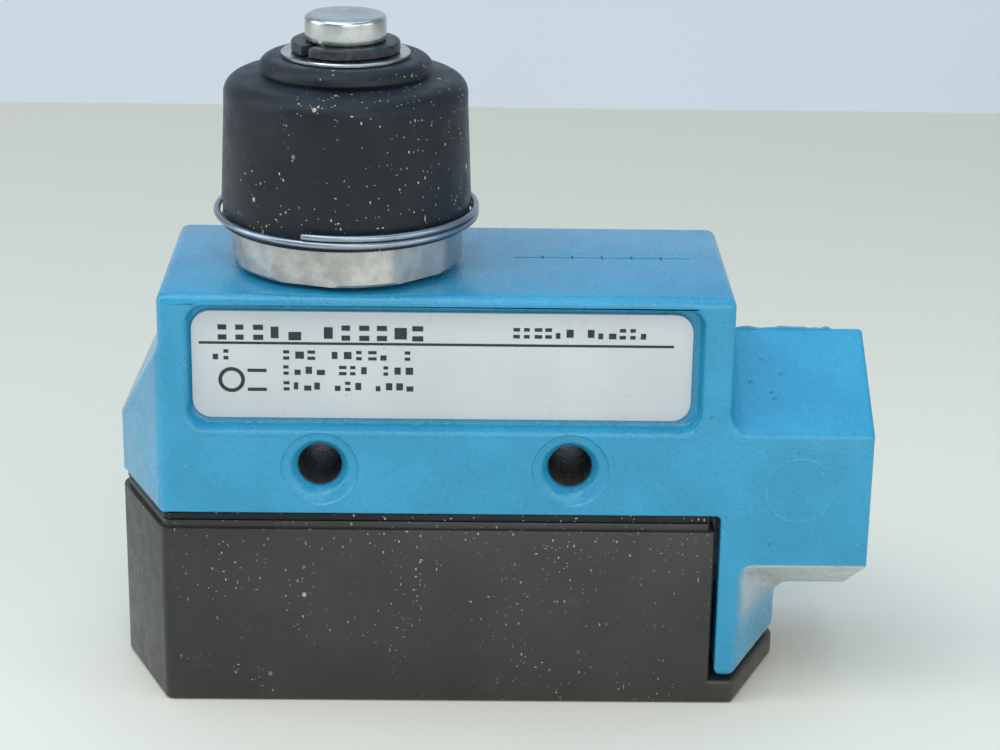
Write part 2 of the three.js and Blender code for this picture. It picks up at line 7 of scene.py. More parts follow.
import bmesh
import bpy
from mathutils import Matrix, Vector
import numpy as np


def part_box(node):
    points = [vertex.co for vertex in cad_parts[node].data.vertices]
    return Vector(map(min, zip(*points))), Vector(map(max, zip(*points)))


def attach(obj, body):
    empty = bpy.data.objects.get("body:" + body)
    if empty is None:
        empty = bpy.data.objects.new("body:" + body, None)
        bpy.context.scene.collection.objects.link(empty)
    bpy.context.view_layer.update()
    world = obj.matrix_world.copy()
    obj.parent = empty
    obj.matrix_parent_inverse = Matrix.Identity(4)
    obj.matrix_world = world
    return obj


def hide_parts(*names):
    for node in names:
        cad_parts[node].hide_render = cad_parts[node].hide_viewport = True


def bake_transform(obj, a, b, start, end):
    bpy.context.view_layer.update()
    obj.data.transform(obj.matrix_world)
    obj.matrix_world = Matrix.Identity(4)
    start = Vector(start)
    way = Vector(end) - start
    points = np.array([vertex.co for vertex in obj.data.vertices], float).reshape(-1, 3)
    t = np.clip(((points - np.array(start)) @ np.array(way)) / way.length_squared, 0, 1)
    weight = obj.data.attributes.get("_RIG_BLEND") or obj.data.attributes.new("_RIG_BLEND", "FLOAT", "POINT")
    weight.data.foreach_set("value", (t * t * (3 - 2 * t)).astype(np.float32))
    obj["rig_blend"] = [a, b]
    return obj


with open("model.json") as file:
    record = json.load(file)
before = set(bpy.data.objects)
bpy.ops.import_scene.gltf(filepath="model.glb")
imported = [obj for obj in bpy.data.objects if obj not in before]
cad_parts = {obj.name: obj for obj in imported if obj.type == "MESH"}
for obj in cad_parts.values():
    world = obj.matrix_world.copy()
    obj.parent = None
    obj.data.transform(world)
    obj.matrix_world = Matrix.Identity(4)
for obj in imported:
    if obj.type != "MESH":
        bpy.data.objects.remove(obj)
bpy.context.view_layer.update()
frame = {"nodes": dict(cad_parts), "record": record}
MM = 0.001


# ------------------------------------------------------------------ sizes, in millimetres
def corners(node):
    """Lowest and highest corner of a node of the frame, in millimetres."""
    low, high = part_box(node)
    return low / MM, high / MM


HOUSING_LOW, HOUSING_HIGH = corners("housing")
COVER_HIGH = corners("cover")[1]
PLUNGER_LOW, PLUNGER_HIGH = corners("plunger")
BUSHING_LOW = corners("plunger_bushing")[0]
BOOT_LOW, BOOT_HIGH = corners("plunger_boot")
RING_LOW, RING_HIGH = corners("retaining_ring")
WASHER_LOW, WASHER_HIGH = corners("boot_washer")
LABEL_LOW, LABEL_HIGH = corners("nameplate")
GASKET_LOW, GASKET_HIGH = corners("cover_gasket")
WIRE_LOW, WIRE_HIGH = corners("boot_clamp_wire")

AXIS_X = (PLUNGER_LOW.x + PLUNGER_HIGH.x) / 2
FRONT = HOUSING_LOW.y
BACK = HOUSING_HIGH.y
TOP = HOUSING_HIGH.z
PARTING = 27.8
BODY_LEFT = -43.8
BODY_RIGHT = 31.75
NOSE_CORNER = -51.1
NOSE_TIP = (-50.9, 36.0)
NOSE_TOP = 50.8

HUB_END = HOUSING_HIGH.x
HUB_Z = 30.0
HUB_R = 2 * BACK / math.sqrt(3)
HUB_BORE = 10.2
HUB_BORE_END = 36.8

ARM_LEFT = 30.9
ARM_FRONT = 33.5
ARM_CORNER = 40.95
ARM_BOTTOM = HOUSING_LOW.z

COVER_RIGHT = 30.25
COVER_TOP = COVER_HIGH.z
COVER_WALL = 2.0
COVER_FLOOR = 2.4
FLANGE_TOP = 3.4
RIM_INSET = 0.6

HOLE_X = (-22.75, 10.55)
HOLE_Z = 34.2
HOLE_R = 2.9
BOSS_R = 4.3
CAPTIVE_X = (-45.2, 35.6)
SWITCH_HOLES = (-24.6, 0.8)
SWITCH_HOLE_Z = 20.5
LUG_TOP = 38.3
LUG_HALF = 4.0
LUG_DEPTH = (9.2, 13.4)
LUG_FOOT = 16.4
LUG_BORE = 2.2
POST_R = 3.9
COIL_TURNS = 5.0
PLUNGER_R = 5.4
HEX_TURN = 12.0
EARTH = (21.5, 46.5)
HAIR = 0.02   # sets one of two flush solids back, so that they join cleanly
TOP_MARK = dict(x0=2.9, x1=27.0, y0=1.3, y1=1.6, depth=0.25)
RECESS = dict(x0=-40.4, x1=28.1, z0=39.2, z1=57.0, depth=2.0)


# ------------------------------------------------------------------ camera, light and stage
def make_camera():
    data = bpy.data.cameras.new("camera")
    data.sensor_width = 36.0
    data.lens = 91.9
    data.clip_start = 0.01
    camera = bpy.data.objects.new("camera", data)
    bpy.context.scene.collection.objects.link(camera)
    place = Matrix.Translation((-0.0048, -0.3307, 0.1611))
    turn = Matrix.Rotation(math.radians(-1.06), 4, "Z")
    tilt = Matrix.Rotation(math.radians(90 - 19.84), 4, "X")
    roll = Matrix.Rotation(math.radians(0.91), 4, "Z")
    camera.matrix_world = place @ turn @ tilt @ roll
    bpy.context.scene.camera = camera


def softbox(name, at, towards, size, power, colour):
    data = bpy.data.lights.new(name, "AREA")
    data.shape = "RECTANGLE"
    data.size, data.size_y = size
    data.energy = power
    data.color = colour
    light = bpy.data.objects.new(name, data)
    bpy.context.scene.collection.objects.link(light)
    light.location = at
    aim = Vector(towards) - Vector(at)
    light.rotation_euler = aim.to_track_quat("-Z", "Y").to_euler()


def make_lights():
    softbox("overhead", (-0.25, -0.42, 0.90), (0, 0, 0.04), (1.0, 0.5), 4.2, (0.90, 0.97, 1.0))
    softbox("blue_overhead", (0.0, 0.15, 0.95), (0, 0, 0.04), (1.0, 0.7), 3.2, (0.36, 0.70, 1.0))
    softbox("left_window", (-0.95, -0.05, 0.40), (0, 0, 0.04), (0.7, 0.8), 3.6, (0.93, 0.97, 1.0))
    softbox("front_fill", (0.30, -1.0, 0.40), (0, 0, 0.03), (1.0, 0.7), 3.8, (1.0, 0.97, 0.91))
    softbox("right_fill", (0.90, -0.40, 0.35), (0, 0, 0.04), (0.6, 0.6), 1.6, (0.95, 0.98, 1.0))
    softbox("wall_wash", (0.0, 0.50, -0.35), (0, 0.9, 0.3), (1.6, 0.3), 2.8, (0.92, 0.97, 1.0))
    world = bpy.data.worlds.new("studio")
    world.use_nodes = True
    sky = world.node_tree.nodes["Background"]
    sky.inputs["Color"].default_value = (0.86, 0.93, 1.0, 1)
    sky.inputs["Strength"].default_value = 0.38
    bpy.context.scene.world = world
    bpy.context.scene.view_settings.view_transform = "Standard"
    bpy.context.scene.view_settings.look = "None"


# ------------------------------------------------------------------ finishes
class Finish:
    """A material wired from object coordinates. Sizes of patterns are in millimetres."""

    def __init__(self, name, colour, roughness, metallic=0.0, **sockets):
        self.material = bpy.data.materials.new(name)
        self.material.use_nodes = True
        self.tree = self.material.node_tree
        self.shader = self.tree.nodes["Principled BSDF"]
        self.shader.inputs["Base Color"].default_value = (*colour, 1)
        self.shader.inputs["Roughness"].default_value = roughness
        self.shader.inputs["Metallic"].default_value = metallic
        for key, value in sockets.items():
            self.shader.inputs[key.replace("_", " ")].default_value = value
        self.coords = self.add("ShaderNodeTexCoord")
        self.place = self.coords.outputs["Object"]
        self.normal = None

    def add(self, kind, inputs=None, **settings):
        node = self.tree.nodes.new(kind)
        for key, value in settings.items():
            setattr(node, key, value)
        for key, value in (inputs or {}).items():
            if isinstance(value, bpy.types.NodeSocket):
                self.tree.links.new(value, node.inputs[key])
            else:
                node.inputs[key].default_value = value
        return node

    def stretched(self, factors, turn=(0, 0, 0), shift=(0, 0, 0)):
        mapped = self.add("ShaderNodeMapping", {
            "Vector": self.place, "Scale": factors, "Rotation": turn, "Location": shift})
        return mapped.outputs["Vector"]

    def noise(self, size, detail=2.0, roughness=0.5, vector=None, distortion=0.0):
        made = self.add("ShaderNodeTexNoise", {
            "Vector": vector or self.place, "Scale": 1 / (size * MM), "Detail": detail,
            "Roughness": roughness, "Distortion": distortion})
        return made.outputs["Fac"]

    def math(self, operation, a, b=0.0, clamp=False):
        return self.add("ShaderNodeMath", {0: a, 1: b}, operation=operation, use_clamp=clamp).outputs[0]

    def band(self, value, low, high, to_low=0.0, to_high=1.0):
        made = self.add("ShaderNodeMapRange", {
            "Value": value, "From Min": low, "From Max": high, "To Min": to_low, "To Max": to_high},
            interpolation_type="SMOOTHSTEP")
        return made.outputs["Result"]

    def mix(self, mask, a, b):
        a = a if isinstance(a, bpy.types.NodeSocket) else (*a, 1)
        b = b if isinstance(b, bpy.types.NodeSocket) else (*b, 1)
        return self.add("ShaderNodeMix", {0: mask, 6: a, 7: b}, data_type="RGBA").outputs[2]

    def part_of_place(self, axis):
        return self.add("ShaderNodeSeparateXYZ", {"Vector": self.place}).outputs[axis]

    def facing(self, axis):
        return self.add("ShaderNodeSeparateXYZ", {"Vector": self.coords.outputs["Normal"]}).outputs[axis]

    def reach(self, x, z):
        """Distance from a line through (x, z) that runs from front to back."""
        across = self.add("ShaderNodeVectorMath", {0: self.place, 1: (x * MM, 0, z * MM)},
                          operation="SUBTRACT").outputs["Vector"]
        across = self.add("ShaderNodeVectorMath", {0: across, 1: (1, 0, 1)},
                          operation="MULTIPLY").outputs["Vector"]
        return self.add("ShaderNodeVectorMath", {0: across}, operation="LENGTH").outputs["Value"]

    def specks(self, size, radius, share, vector=None, soft=0.35):
        """Scattered dots: one in a share of the cells of a grid of that size."""
        cells = self.add("ShaderNodeTexVoronoi", {
            "Vector": vector or self.place, "Scale": 1 / (size * MM), "Randomness": 1.0})
        near = self.band(cells.outputs["Distance"], radius * (1 - soft), radius, 1.0, 0.0)
        pick = self.add("ShaderNodeSeparateColor", {"Color": cells.outputs["Color"]}).outputs[0]
        return self.math("MULTIPLY", near, self.math("LESS_THAN", pick, share))

    def bump(self, height, depth, strength=1.0):
        inputs = {"Height": height, "Distance": depth * MM, "Strength": strength}
        if self.normal is not None:
            inputs["Normal"] = self.normal
        self.normal = self.add("ShaderNodeBump", inputs).outputs["Normal"]

    def done(self, colour=None, roughness=None, metallic=None):
        for key, value in (("Base Color", colour), ("Roughness", roughness), ("Metallic", metallic)):
            if value is not None:
                self.tree.links.new(value, self.shader.inputs[key])
        if self.normal is not None:
            self.tree.links.new(self.normal, self.shader.inputs["Normal"])
        return self.material


def blue_paint():
    """Glossy paint over a slightly rough casting, run thin on the underside of the hub."""
    f = Finish("blue_paint", (0.02, 0.30, 0.52), 0.32, Coat_Weight=0.25, Coat_Roughness=0.15)
    x, y, z = (f.part_of_place(i) for i in range(3))
    fine, broad = f.noise(0.55, 3, 0.6), f.noise(9, 3)
    colour = f.mix(f.band(broad, 0.35, 0.7), (0.016, 0.275, 0.480), (0.022, 0.315, 0.545))
    # Tone follows the grain's bump height: darker in its hollows as painted shade, lighter on its crests as
    # painted highlight.
    colour = f.mix(f.band(fine, 0.25, 0.55, 0.35, 0.0), colour, (0.012, 0.19, 0.33))
    colour = f.mix(f.band(fine, 0.55, 0.85, 0.0, 0.30), colour, (0.06, 0.42, 0.62))
    # Small pits shown only by colour: a darker copy of the blue as painted shade in them.
    pit_shade = f.specks(1.7, 0.13, 0.10, f.stretched((1, 1.3, 0.8)))
    pit_shade = f.math("MULTIPLY", pit_shade, f.band(f.noise(7, 2), 0.45, 0.62))
    colour = f.mix(f.math("MULTIPLY", pit_shade, 0.7), colour, (0.012, 0.075, 0.12))
    dust = f.specks(1.3, 0.09, 0.08)
    colour = f.mix(f.math("MULTIPLY", dust, 0.5), colour, (0.55, 0.70, 0.78))
    # Bare metal under the hub and where it runs down the arm.
    ragged = f.math("MULTIPLY_ADD", f.noise(3, 4, 0.6), 0.006)
    f.tree.links.new(z, ragged.node.inputs[2])
    hub_side = f.band(x, 33.6 * MM, 35.2 * MM)
    under = f.math("MULTIPLY", f.band(f.facing(2), -0.12, -0.42), hub_side)
    arm = f.math("MULTIPLY", f.band(ragged, 11 * MM, 19 * MM), f.band(ragged, 25.5 * MM, 23.5 * MM))
    arm = f.math("MULTIPLY", f.math("MULTIPLY", arm, f.band(f.facing(0), 0.5, 0.85)), hub_side)
    arm = f.math("MULTIPLY", arm, f.band(x, 41.6 * MM, 41.2 * MM))
    bare = f.math("MAXIMUM", under, f.math("MULTIPLY", arm, 0.85), clamp=True)
    metal = f.mix(f.noise(1.1, 4, 0.7), (0.34, 0.40, 0.40), (0.58, 0.64, 0.62))
    metal = f.mix(f.math("MULTIPLY", f.band(f.noise(2.3, 3), 0.55, 0.75), 0.6), metal, (0.20, 0.24, 0.24))
    colour = f.mix(bare, colour, metal)
    # Machined bores stay unpainted: bare metal, coloured near black as painted shade inside the bore.
    for hole_x in HOLE_X:
        bore = f.band(f.reach(hole_x, HOLE_Z), 3.1 * MM, 3.0 * MM)
        bore = f.math("MULTIPLY", bore, f.band(f.math("ABSOLUTE", y), 15.0 * MM, 14.2 * MM))
        streak = f.noise(0.6, 2, 0.5, f.stretched((1, 0.1, 1)))
        colour = f.mix(bore, colour, f.mix(streak, (0.02, 0.02, 0.021), (0.075, 0.078, 0.08)))
    # Cast skin: fine grain, coarser beside the hub's fillet, pips on the hub and a faint ejector ring.
    f.bump(fine, 0.14, 0.85)
    f.bump(f.noise(2.0, 2), 0.12, 0.5)
    near_fillet = f.math("MULTIPLY", f.band(x, 31.0 * MM, 32.0 * MM), f.band(x, 34.6 * MM, 32.8 * MM))
    near_fillet = f.math("MULTIPLY", near_fillet, f.band(z, 38.0 * MM, 39.5 * MM))
    ledge = f.math("MULTIPLY", f.band(z, 38.6 * MM, 39.0 * MM), f.band(z, 41.2 * MM, 40.4 * MM))
    ledge = f.math("MULTIPLY", ledge, f.band(x, 29 * MM, 28.4 * MM))
    rough_skin = f.math("MAXIMUM", near_fillet, f.math("MULTIPLY", ledge, 0.7))
    f.bump(f.math("MULTIPLY", f.noise(0.42, 2, 0.6), rough_skin), 0.16, 0.8)
    pips = f.specks(1.5, 0.24, 0.45, f.stretched((1.0, 0.8, 0.7)), 0.9)
    on_hub = f.math("MULTIPLY", f.band(x, 32 * MM, 33.5 * MM), f.band(x, 45 * MM, 38 * MM))
    pips = f.math("MULTIPLY", f.math("MULTIPLY", pips, on_hub), f.band(z, 39.4 * MM, 40.2 * MM))
    f.bump(pips, 0.20, 0.9)
    reach = f.reach(41.2, 31.6)
    ring = f.math("MULTIPLY", f.band(reach, 4.2 * MM, 4.5 * MM), f.band(reach, 4.8 * MM, 4.5 * MM))
    ring = f.math("MULTIPLY", ring, f.band(y, -16.0 * MM, -16.3 * MM))
    f.bump(ring, 0.07, 0.8)
    worn = f.math("MULTIPLY", ring, f.band(f.noise(3, 2), 0.4, 0.6, 0.1, 0.4))
    colour = f.mix(worn, colour, (0.05, 0.38, 0.60))
    rough = f.band(f.noise(3, 2), 0.3, 0.7, 0.20, 0.30)
    return f.done(colour, rough)


def lint_mask(f, drift, amount):
    """Loose dust and short fibres, gathered where drift is high."""
    kinds = (
        (0.85, 0.15, 0.45, (1, 1, 0.55), (0.3, 0.5, 0.1)),
        (0.95, 0.12, 0.30, (0.5, 1, 1), (0.2, -0.7, 0.4)),
        (1.9, 0.06, 0.45, (1.3, 1, 0.22), (-0.5, 0.35, 0.6)),
        (0.55, 0.17, 0.30, (1, 1, 1), (0, 0, 0)),
        (2.8, 0.12, 0.12, (1, 1, 0.8), (0.8, 0.1, 0)),
    )
    total = None
    for size, radius, share, factors, turn in kinds:
        layer = f.specks(size, radius, share, f.stretched(factors, turn))
        total = layer if total is None else f.math("MAXIMUM", total, layer)
    return f.math("MULTIPLY", f.math("MULTIPLY", total, drift), amount)


def black_cover():
    f = Finish("black_cover", (0.03, 0.03, 0.029), 0.38, Coat_Weight=0.10, Coat_Roughness=0.3)
    x, z = f.part_of_place(0), f.part_of_place(2)
    colour = f.mix(f.band(f.noise(14, 3, 0.6), 0.3, 0.75), (0.017, 0.017, 0.016), (0.028, 0.028, 0.026))
    rub = f.noise(6, 5, 0.8, f.stretched((1, 1, 1.6), (0, 0.5, 0)))
    colour = f.mix(f.band(rub, 0.60, 0.78, 0.0, 0.35), colour, (0.085, 0.080, 0.072))
    scratch = f.noise(0.5, 2, 0.5, f.stretched((0.12, 1, 1), (0, 0.95, 0)))
    scratch = f.math("MULTIPLY", f.band(scratch, 0.70, 0.74), f.band(f.noise(9, 2), 0.55, 0.66))
    colour = f.mix(f.math("MULTIPLY", scratch, 0.3), colour, (0.25, 0.25, 0.24))
    high = f.band(z, 8 * MM, 24 * MM, 0.02, 0.14)
    drift = f.band(f.math("ADD", f.noise(8, 3), high), 0.46, 0.68)
    dust = lint_mask(f, drift, 0.8)
    colour = f.mix(dust, colour, f.mix(f.noise(1.3, 1), (0.50, 0.50, 0.49), (0.42, 0.32, 0.20)))
    f.bump(f.noise(0.32, 2, 0.6), 0.02, 0.45)
    f.bump(dust, 0.05, 0.4)
    return f.done(colour, f.band(f.noise(2.5, 4, 0.7), 0.3, 0.7, 0.32, 0.46))


def black_rubber():
    f = Finish("black_rubber", (0.012, 0.015, 0.020), 0.44, Sheen_Weight=0.14, Sheen_Roughness=0.35,
               Specular_IOR_Level=0.3)
    f.shader.inputs["Sheen Tint"].default_value = (0.5, 0.68, 0.95, 1)
    x, z = f.part_of_place(0), f.part_of_place(2)
    colour = f.mix(f.band(f.noise(7, 3), 0.35, 0.7), (0.006, 0.009, 0.013), (0.012, 0.016, 0.022))
    # Dust gathers towards the lower right and thins out near the crown.
    side = f.band(x, -33 * MM, -8 * MM, -0.05, 0.14)
    low = f.band(z, 82 * MM, 66 * MM, -0.10, 0.06)
    drift = f.band(f.math("ADD", f.noise(5, 3), f.math("ADD", side, low)), 0.34, 0.54)
    dust = lint_mask(f, drift, 0.9)
    colour = f.mix(dust, colour, f.mix(f.noise(1.1, 1), (0.60, 0.60, 0.60), (0.50, 0.36, 0.20)))
    f.bump(f.noise(0.45, 3, 0.6), 0.025, 0.4)
    f.bump(dust, 0.06, 0.5)
    return f.done(colour, f.band(f.noise(3.2, 3), 0.3, 0.7, 0.40, 0.54))


def plated(name, light, dark, rough_low, rough_high, tints=0.25):
    """Bright plated steel with fine turning marks and a faint yellow and blue cast."""
    f = Finish(name, light, rough_low, 1.0)
    colour = f.mix(f.band(f.noise(3.5, 3, 0.6), 0.35, 0.7), light, dark)
    colour = f.mix(f.math("MULTIPLY", f.band(f.noise(5, 2), 0.52, 0.7), tints), colour, (0.80, 0.74, 0.55))
    colour = f.mix(f.math("MULTIPLY", f.band(f.noise(6.5, 2), 0.55, 0.75), tints), colour, (0.52, 0.66, 0.84))
    marks = f.noise(0.16, 2, 0.5, f.stretched((0.1, 0.1, 1.0)))
    f.bump(marks, 0.003, 0.25)
    f.bump(f.noise(1.6, 2, 0.5), 0.010, 0.25)
    return f.done(colour, f.band(marks, 0.3, 0.7, rough_low, rough_high))


def bright_zinc():
    return plated("bright_zinc", (0.61, 0.64, 0.63), (0.48, 0.51, 0.51), 0.20, 0.30)


def spring_wire():
    return plated("spring_wire", (0.34, 0.39, 0.45), (0.29, 0.34, 0.40), 0.26, 0.34, 0.05)


def dark_steel():
    f = Finish("dark_steel", (0.045, 0.05, 0.06), 0.38, 0.6)
    colour = f.mix(f.band(f.noise(1.2, 3), 0.35, 0.7), (0.032, 0.036, 0.045), (0.07, 0.078, 0.09))
    f.bump(f.noise(0.4, 3, 0.6), 0.02, 0.4)
    return f.done(colour, f.band(f.noise(0.9, 3), 0.3, 0.7, 0.32, 0.46))


def bare_casting():
    f = Finish("bare_casting", (0.5, 0.52, 0.5), 0.42, 0.85)
    blotch = f.band(f.noise(3.4, 5, 0.65), 0.36, 0.66)
    colour = f.mix(blotch, (0.60, 0.59, 0.55), (0.42, 0.42, 0.41))
    stain = f.band(f.noise(2.1, 3, 0.6, f.stretched((1, 1, 0.7), shift=(0.01, 0.02, 0))), 0.60, 0.75)
    colour = f.mix(f.math("MULTIPLY", stain, 0.7), colour, (0.28, 0.30, 0.31))
    # Bluish towards the right side: painted reflection of the blue light from above.
    blue = f.band(f.part_of_place(0), -17 * MM, -6 * MM)
    colour = f.mix(f.math("MULTIPLY", blue, 0.45), colour, (0.30, 0.36, 0.44))
    f.bump(f.noise(0.5, 4, 0.65), 0.05, 0.5)
    return f.done(colour, f.band(f.noise(1.5, 4), 0.3, 0.7, 0.34, 0.55))


def label_film():
    f = Finish("label_film", (0.66, 0.71, 0.74), 0.30, 0.0, Coat_Weight=0.25, Coat_Roughness=0.25)
    colour = f.mix(f.band(f.noise(12, 2), 0.35, 0.7), (0.54, 0.58, 0.60), (0.58, 0.62, 0.64))
    colour = f.mix(f.math("MULTIPLY", f.specks(2.4, 0.07, 0.12), 0.5), colour, (0.25, 0.24, 0.22))
    f.bump(f.noise(0.5, 2), 0.01, 0.3)
    return f.done(colour, f.band(f.noise(4, 2), 0.3, 0.7, 0.26, 0.36))


def ink():
    f = Finish("ink", (0.012, 0.014, 0.012), 0.4)
    colour = f.mix(f.band(f.noise(0.3, 3), 0.4, 0.7), (0.010, 0.012, 0.011), (0.03, 0.034, 0.03))
    return f.done(colour)


def moulded(name, light, dark, roughness):
    f = Finish(name, light, roughness)
    colour = f.mix(f.band(f.noise(4, 3), 0.35, 0.7), light, dark)
    f.bump(f.noise(0.3, 3, 0.6), 0.02, 0.5)
    return f.done(colour, f.band(f.noise(2, 3), 0.3, 0.7, roughness - 0.05, roughness + 0.08))


def copper_alloy(name, light, dark):
    f = Finish(name, light, 0.28, 1.0)
    colour = f.mix(f.band(f.noise(2.2, 4, 0.6), 0.35, 0.7), light, dark)
    grain = f.noise(0.15, 2, 0.5, f.stretched((0.2, 1, 1)))
    f.bump(grain, 0.01, 0.4)
    return f.done(colour, f.band(grain, 0.3, 0.7, 0.22, 0.38))


def green_screw():
    f = Finish("green_screw", (0.05, 0.22, 0.09), 0.35, 0.55)
    colour = f.mix(f.band(f.noise(1.1, 3), 0.35, 0.7), (0.04, 0.20, 0.08), (0.09, 0.30, 0.14))
    f.bump(f.noise(0.3, 3), 0.02, 0.4)
    return f.done(colour)


def floor_finish(name, light, dark, size, far_shade=None):
    f = Finish(name, light, 0.6)
    colour = f.mix(f.band(f.noise(size, 2), 0.35, 0.7), light, dark)
    # Darker towards the back: painted shade where less light falls.
    if far_shade:
        colour = f.mix(f.band(f.part_of_place(1), -200 * MM, 320 * MM), colour, far_shade)
    return f.done(colour)


FINISHES = {
    "blue_paint": blue_paint(),
    "black_cover": black_cover(),
    "black_rubber": black_rubber(),
    "bright_zinc": bright_zinc(),
    "bare_casting": bare_casting(),
    "dark_steel": dark_steel(),
    "spring_wire": spring_wire(),
    "label_film": label_film(),
    "phenolic": moulded("phenolic", (0.045, 0.028, 0.02), (0.025, 0.016, 0.012), 0.42),
    "brass": copper_alloy("brass", (0.66, 0.50, 0.22), (0.48, 0.34, 0.14)),
    "copper_blade": copper_alloy("copper_blade", (0.68, 0.38, 0.20), (0.50, 0.26, 0.13)),
    "red_nylon": moulded("red_nylon", (0.42, 0.05, 0.03), (0.32, 0.035, 0.02), 0.3),
    "green_screw": green_screw(),
}
INK = ink()


# ------------------------------------------------------------------ mesh work
def at(axis, u, v, h):
    """Point with outline coordinates u, v at height h along the axis."""
    return {"X": (h, u, v), "Y": (u, h, v), "Z": (u, v, h)}[axis]


def prism(outline, low, high, axis="Z"):
    bm = bmesh.new()
    face = bm.faces.new([bm.verts.new(at(axis, u, v, low)) for u, v in outline])
    grown = bmesh.ops.extrude_face_region(bm, geom=[face])
    moved = [v for v in grown["geom"] if isinstance(v, bmesh.types.BMVert)]
    bmesh.ops.translate(bm, verts=moved, vec=at(axis, 0, 0, high - low))
    bmesh.ops.recalc_face_normals(bm, faces=bm.faces)
    return bm


def block(x0, x1, y0, y1, z0, z1):
    return prism([(x0, y0), (x1, y0), (x1, y1), (x0, y1)], z0, z1)


def soften(bm, chosen, width, segments=3):
    """Rounds the edges for which chosen(edge) is true."""
    edges = [e for e in bm.edges if chosen(e)]
    bmesh.ops.bevel(bm, geom=edges, offset=width, offset_type="OFFSET", segments=segments,
                    profile=0.5, affect="EDGES", material=-1, clamp_overlap=True)
    return bm


def runs(axis, **where):
    """Test for edges that run along an axis, near the given coordinates."""
    index = "XYZ".index(axis)

    def test(edge):
        a, b = (v.co for v in edge.verts)
        if abs((b - a).normalized()[index]) < 0.999:
            return False
        middle = (a + b) / 2
        return all(abs(middle["xyz".index(k)] - v) < 0.05 for k, v in where.items())
    return test


def rounded_by(bm, radius_of, segments):
    """Rounds each edge by its own radius in one go, so that neighbouring roundings run together."""
    widest = max(radius_of(e) for e in bm.edges)
    weights = bm.edges.layers.float.new("bevel_weight_edge")
    for edge in bm.edges:
        if edge.calc_face_angle(0) > 0.1:
            edge[weights] = radius_of(edge) / widest
    obj = temporary(bm)
    step = obj.modifiers.new("round", "BEVEL")
    step.limit_method, step.width, step.segments = "WEIGHT", widest, segments
    step.miter_outer, step.use_clamp_overlap = "MITER_ARC", False
    bpy.context.view_layer.update()
    bm = bmesh.new()
    bm.from_mesh(obj.evaluated_get(bpy.context.evaluated_depsgraph_get()).to_mesh())
    mesh = obj.data
    bpy.data.objects.remove(obj)
    bpy.data.meshes.remove(mesh)
    bmesh.ops.remove_doubles(bm, verts=bm.verts, dist=1e-4)
    bm.edges.layers.float.remove(bm.edges.layers.float["bevel_weight_edge"])
    return bm


def level(z):
    return lambda edge: all(abs(v.co.z - z) < 0.01 for v in edge.verts)


def plane_at(axis, value):
    index = "xyz".index(axis)
    return lambda edge: all(abs(v.co[index] - value) < 0.01 for v in edge.verts)


def turned(profile, centre=(0, 0, 0), axis="Z", steps=64):
    """Profile of (radius, height) points spun round an axis through the centre."""
    bm = bmesh.new()
    side = {"X": (0, 1, 0), "Y": (1, 0, 0), "Z": (1, 0, 0)}[axis]
    along = Vector(at(axis, 0, 0, 1))
    verts = [bm.verts.new(Vector(side) * r + along * h) for r, h in profile]
    edges = [bm.edges.new(pair) for pair in zip(verts, verts[1:])]
    if profile[0][0] > 1e-6:
        edges.append(bm.edges.new((verts[-1], verts[0])))
    bmesh.ops.spin(bm, geom=verts + edges, cent=(0, 0, 0), axis=along, angle=2 * math.pi,
                   steps=steps, use_merge=True, use_duplicate=False)
    bmesh.ops.remove_doubles(bm, verts=bm.verts, dist=1e-4)
    bmesh.ops.recalc_face_normals(bm, faces=bm.faces)
    bmesh.ops.translate(bm, verts=bm.verts, vec=centre)
    return bm


def rod(r, low, high, centre=(0, 0, 0), axis="Z", steps=48):
    return turned([(0, low), (r, low), (r, high), (0, high)], centre, axis, steps)


def arc(centre, radius, start, end, steps):
    """Points on an arc, angles in degrees."""
    out = []
    for i in range(steps + 1):
        a = math.radians(start + (end - start) * i / steps)
        out.append((centre[0] + radius * math.cos(a), centre[1] + radius * math.sin(a)))
    return out


def temporary(bm):
    mesh = bpy.data.meshes.new("working")
    bm.to_mesh(mesh)
    bm.free()
    obj = bpy.data.objects.new("working", mesh)
    bpy.context.scene.collection.objects.link(obj)
    return obj


def combined(base, other, operation):
    """Boolean of two closed solids. Both are used up."""
    a, b = temporary(base), temporary(other)
    step = a.modifiers.new("combine", "BOOLEAN")
    step.operation, step.solver, step.object = operation, "EXACT", b
    bpy.context.view_layer.update()
    made = a.evaluated_get(bpy.context.evaluated_depsgraph_get()).to_mesh()
    bm = bmesh.new()
    bm.from_mesh(made)
    for obj in (a, b):
        mesh = obj.data
        bpy.data.objects.remove(obj)
        bpy.data.meshes.remove(mesh)
    bmesh.ops.remove_doubles(bm, verts=bm.verts, dist=1e-4)
    return bm


def joined(base, *others):
    for other in others:
        base = combined(base, other, "UNION")
    return base


def cut(base, *others):
    for other in others:
        base = combined(base, other, "DIFFERENCE")
    return base


def sliced(bm, point, normal):
    """Removes what lies beyond a plane and closes the cut."""
    geometry = bm.verts[:] + bm.edges[:] + bm.faces[:]
    bmesh.ops.bisect_plane(bm, geom=geometry, plane_co=point, plane_no=normal, clear_outer=True)
    bmesh.ops.holes_fill(bm, edges=[e for e in bm.edges if e.is_boundary])
    bmesh.ops.recalc_face_normals(bm, faces=bm.faces)
    return bm


def finished(name, bm, material, body, replaces=(), angle=32, rides=True):
    bmesh.ops.scale(bm, vec=(MM, MM, MM), verts=bm.verts)
    mesh = bpy.data.meshes.new(name)
    bm.to_mesh(mesh)
    bm.free()
    mesh.materials.append(material)
    mesh.shade_smooth()
    mesh.set_sharp_from_angle(angle=math.radians(angle))
    obj = bpy.data.objects.new(name, mesh)
    bpy.context.scene.collection.objects.link(obj)
    if rides:
        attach(obj, body)
    if replaces:
        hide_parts(*replaces)
    return obj


